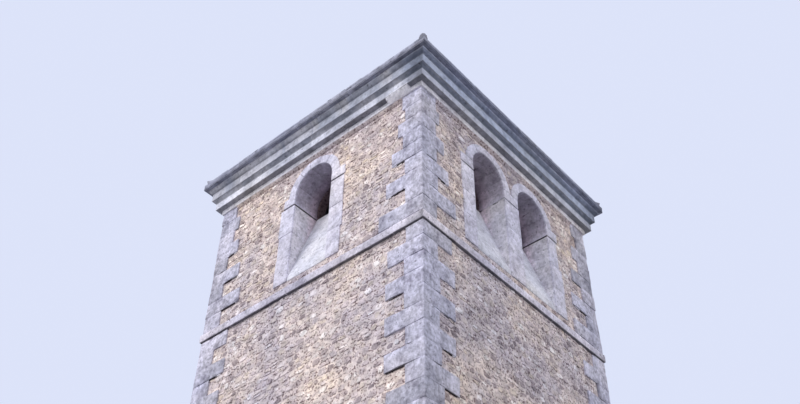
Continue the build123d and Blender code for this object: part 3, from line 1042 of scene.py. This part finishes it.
stone_piece(bm, "hip_cap_stones", roof_stone, 0.010, 0.006, slot="roof_stone", replaced=["hip_caps"])

# Cap stone: one low pyramid of stone that closes the top of the roof.
low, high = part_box("apex_cap_stone")
bm = new_stonework()
bmesh.ops.create_cone(bm, cap_ends=True, segments=4, radius1=apex_half * math.sqrt(2), radius2=0.02,
                      depth=high[2] - apex_level)
turn(bm, bm.verts[:], math.pi / 4, "Z", (0, 0, (high[2] + apex_level) / 2))
base = min(bm.faces, key=lambda face: face.calc_center_median().z)
carry(bm, base, lambda co: Vector((co.x, co.y, low[2] + 0.01)))
bmesh.ops.subdivide_edges(bm, edges=bm.edges[:], cuts=4, use_grid_fill=True)
layer = bm.verts.layers.float["tone"]
for vert in bm.verts:
    vert[layer] = 0.55
stone_piece(bm, "worn_apex_cap", roof_stone, 0.02, 0.008, slot="roof_stone", replaced=["apex_cap_stone"])

# The camera stands at the photographer's place, at eye height, looking up at the near corner.
camera = bpy.data.objects.new("camera", bpy.data.cameras.new("camera"))
scene.collection.objects.link(camera)
scene.camera = camera
eye = Vector((9.862, -11.443, 1.6))
view_azimuth, view_pitch, view_roll = (math.radians(angle) for angle in (41.20, 43.38, 0.57))
photo_width, focal_pixels = 800, 944.9
camera.data.lens = camera.data.sensor_width * focal_pixels / photo_width
camera.data.clip_end = 300.0
camera.matrix_world = (Matrix.Translation(eye) @ Matrix.Rotation(view_azimuth, 4, "Z")
                       @ Matrix.Rotation(math.pi / 2 + view_pitch, 4, "X")
                       @ Matrix.Rotation(view_roll, 4, "Z"))

# Plain pale floor and even studio light: a soft lamp from the front left and a pale surround. The
# floor and the surround look pale to the camera, and shine less on the undersides of the stones.


def shown_or_lit(tree, shown, lit, target):
    """Mixes what the camera sees with what lights the object."""
    rays = tree.nodes.new("ShaderNodeLightPath").outputs
    seen = sums(tree, "MAXIMUM", *(rays[f"Is {ray} Ray"] for ray in ("Camera", "Glossy", "Transmission")))
    choice = tree.nodes.new("ShaderNodeMixShader")
    for end, socket in zip((seen, lit, shown), choice.inputs):
        tree.links.new(end, socket)
    tree.links.new(choice.outputs[0], target)


bm = bmesh.new()
bmesh.ops.create_circle(bm, cap_ends=True, segments=96, radius=90.0)
mesh = bpy.data.meshes.new("floor")
bm.to_mesh(mesh)
bm.free()
floor_finish, tree, surface, where = new_finish("pale_floor", 0.9)
surface.inputs["Base Color"].default_value = (0.53, 0.554, 0.655, 1.0)
dull = tree.nodes.new("ShaderNodeBsdfDiffuse")
dull.inputs["Color"].default_value = (0.19, 0.19, 0.20, 1.0)
shown_or_lit(tree, surface.outputs[0], dull.outputs[0], tree.nodes["Material Output"].inputs["Surface"])
mesh.materials.append(floor_finish)
floor = bpy.data.objects.new("floor", mesh)
scene.collection.objects.link(floor)

lamp = bpy.data.objects.new("soft_lamp", bpy.data.lights.new("soft_lamp", "SUN"))
lamp.data.energy = 1.5
lamp.data.angle = math.radians(25)
lamp.rotation_euler = Vector((-0.50, -0.80, 0.75)).to_track_quat("Z", "Y").to_euler()
scene.collection.objects.link(lamp)

world = bpy.data.worlds.new("studio")
scene.world = world
world.use_nodes = True
tree = world.node_tree
studio_light = tree.nodes["Background"]
studio_light.inputs["Color"].default_value = (0.92, 0.95, 1.0, 1.0)
studio_light.inputs["Strength"].default_value = 1.15
backdrop = tree.nodes.new("ShaderNodeBackground")
backdrop.inputs["Color"].default_value = (0.72, 0.77, 0.95, 1.0)
shown_or_lit(tree, backdrop.outputs[0], studio_light.outputs[0],
             tree.nodes["World Output"].inputs["Surface"])
scene.view_settings.view_transform = "Standard"
